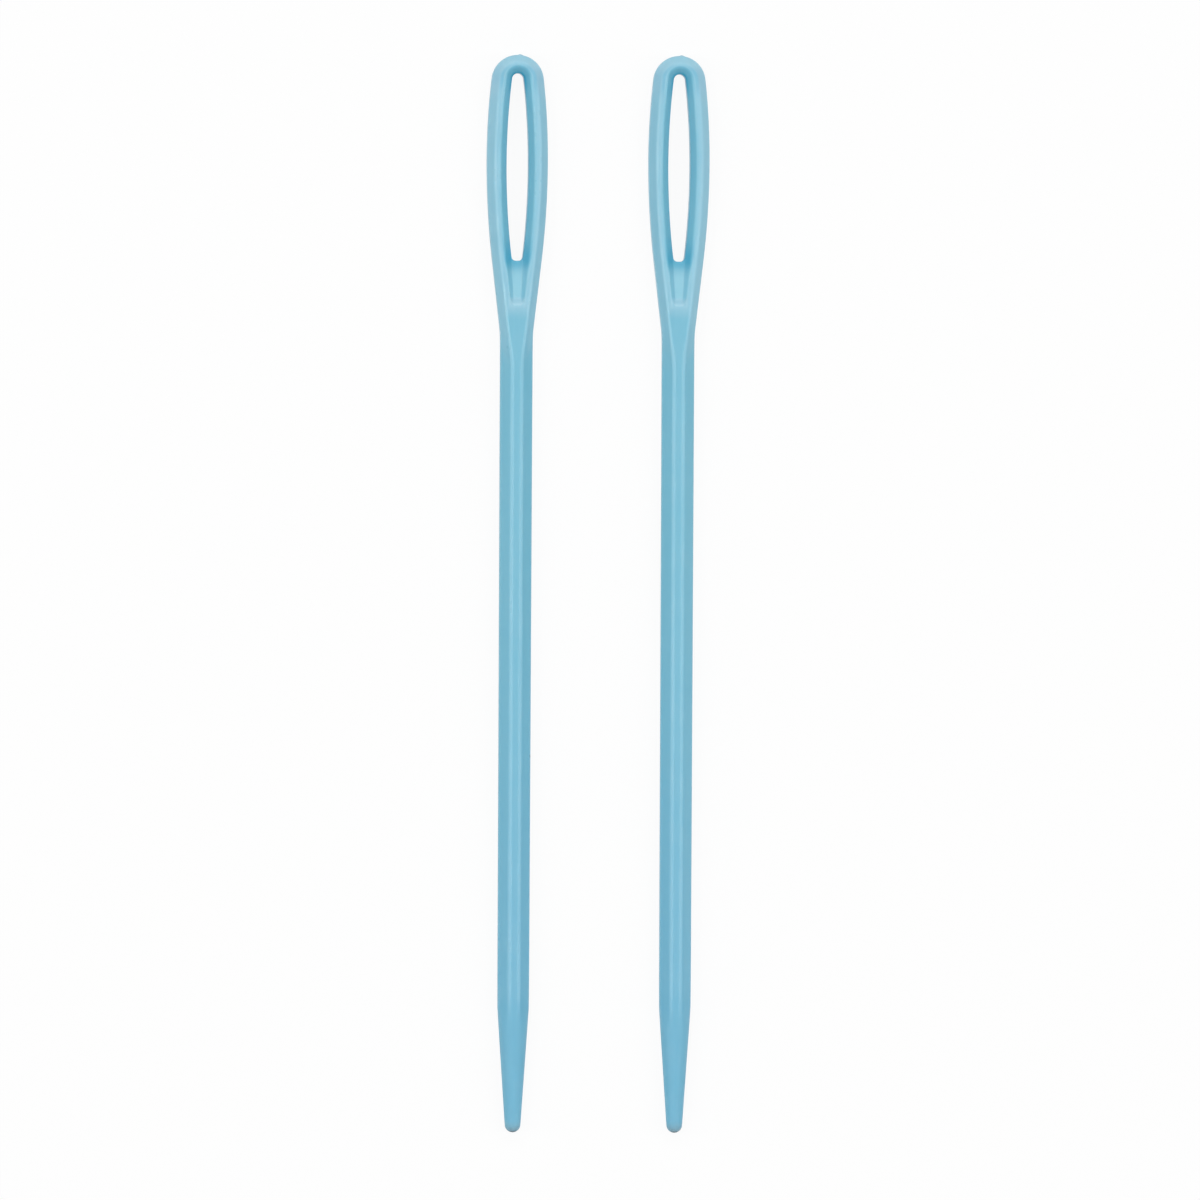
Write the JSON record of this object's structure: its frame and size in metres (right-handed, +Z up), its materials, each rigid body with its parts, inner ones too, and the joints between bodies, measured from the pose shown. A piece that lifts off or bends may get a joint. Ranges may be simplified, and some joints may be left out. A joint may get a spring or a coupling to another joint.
{
  "type": "yarn needle",
  "caption": "Blunt plastic yarn needles lying side by side, each with a long bevelled eye, a yarn groove below it and an eight-sided shaft with a round point.",
  "frame": {"origin": "on the table, midway between the needles' axes and under the middle of their length", "axes": "+Y along the needles towards their eyes, +X across from the left needle to the right one, +Z up from the table"},
  "size_m": [0.0186, 0.09, 0.0025],
  "materials": {
    "needle_plastic": "satin, slightly translucent light blue, as moulded"
  },
  "bodies": {
    "left_needle": {"left_eye_plate": "needle_plastic", "left_shaft": "needle_plastic"},
    "right_needle": {"right_eye_plate": "needle_plastic", "right_shaft": "needle_plastic"}
  },
  "joints": [
    {"name": "right_needle_lift", "type": "slide", "parent": "left_needle", "child": "right_needle", "axis": [0, 0, 1], "range_m": [0, 0.04]}
  ]
}
